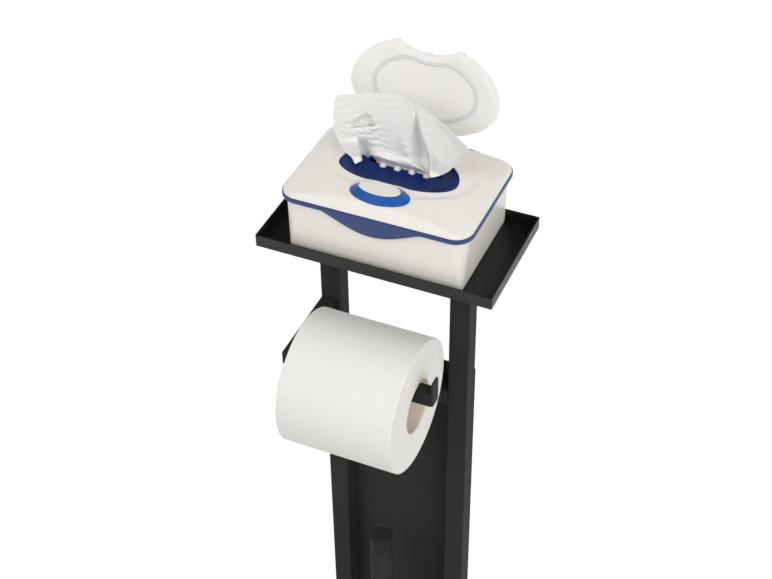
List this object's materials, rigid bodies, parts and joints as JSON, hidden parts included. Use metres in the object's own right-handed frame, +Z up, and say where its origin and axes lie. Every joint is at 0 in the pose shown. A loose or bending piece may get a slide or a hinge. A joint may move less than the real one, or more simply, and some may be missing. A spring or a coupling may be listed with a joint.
{
  "type": "toilet paper and wipes holder",
  "caption": "Free-standing bathroom stand: square base, twin uprights, back panel, top tray with a wipes box, side-loading toilet roll arm and a lidded toilet brush cup.",
  "frame": {"origin": "centre of the footprint, on the floor under the base pads", "axes": "+Z up along the uprights, -Y towards the user and the paper roll, +X to the user's right"},
  "size_m": [0.2, 0.2048, 0.8404],
  "materials": {
    "black_steel": "satin black powder coat",
    "zinc_steel": "zinc plated",
    "black_screws": "blackened",
    "pad_rubber": "matt",
    "cardboard": "plain grey-brown board",
    "tissue": "soft white embossed paper",
    "white_plastic": "warm white, semi-gloss",
    "blue_plastic": "dark blue, semi-gloss",
    "navy_plastic": "navy, semi-gloss",
    "button_plastic": "mid blue, semi-gloss",
    "wipe_cloth": "damp non-woven cloth",
    "black_plastic": "satin black",
    "bristle_nylon": "white nylon"
  },
  "bodies": {
    "stand": {"base_plate": "black_steel", "base_pads": "pad_rubber", "left_upright": "black_steel", "right_upright": "black_steel", "upright_plugs": "zinc_steel", "base_screws": "zinc_steel", "cross_tube": "black_steel", "back_panel": "black_steel", "panel_screws": "black_screws", "tray": "black_steel", "tray_screws": "black_screws", "roll_arm": "black_steel", "arm_stop": "black_steel", "arm_screw": "black_screws"},
    "roll": {"roll_core": "cardboard", "paper_roll": "tissue"},
    "tub": {"tub": "white_plastic", "wipes_stack": "wipe_cloth", "lid_hinge_pins": "zinc_steel"},
    "lid": {"lid_rim": "blue_plastic", "lid_shell": "white_plastic", "dispenser_well": "navy_plastic", "flap_pin": "zinc_steel", "button_bridge": "white_plastic", "button_spring": "zinc_steel", "drawn_wipe": "wipe_cloth"},
    "flap": {"flap": "white_plastic"},
    "button": {"button": "button_plastic", "button_cap": "white_plastic"},
    "cup": {"brush_cup": "black_steel", "cup_liner": "black_plastic"},
    "brush": {"cup_cover": "black_steel", "brush_handle": "black_steel", "handle_cap": "black_plastic", "brush_neck": "black_plastic", "brush_core": "black_plastic", "bristles": "bristle_nylon"}
  },
  "joints": [
    {"name": "roll_spin", "type": "hinge", "parent": "stand", "child": "roll", "pos_m": [0.002, -0.04618, 0.60305], "axis": [1, 0, 0], "continuous": true},
    {"name": "tub_lift", "type": "slide", "parent": "stand", "child": "tub", "axis": [0, 0, 1], "range_m": [0, 0.15]},
    {"name": "lid_hinge", "type": "hinge", "parent": "tub", "child": "lid", "pos_m": [-0.001, 0.09632, 0.75225], "axis": [-1, 0, 0], "range_deg": [0, 100]},
    {"name": "flap_hinge", "type": "hinge", "parent": "lid", "child": "flap", "pos_m": [-0.001, 0.08568, 0.76474], "axis": [1, 0, 0], "range_deg": [0, 102], "deforming": ["drawn_wipe"]},
    {"name": "button_press", "type": "slide", "parent": "lid", "child": "button", "axis": [0, 0, -1], "range_m": [0, 0.0015], "stiffness_N_per_m": 400, "springref_m": -0.001, "deforming": ["button_spring"]},
    {"name": "cup_slide", "type": "slide", "parent": "stand", "child": "cup", "axis": [0, -1, 0], "range_m": [0, 0.12]},
    {"name": "brush_lift", "type": "slide", "parent": "cup", "child": "brush", "axis": [0, 0, 1], "range_m": [0, 0.14]}
  ]
}
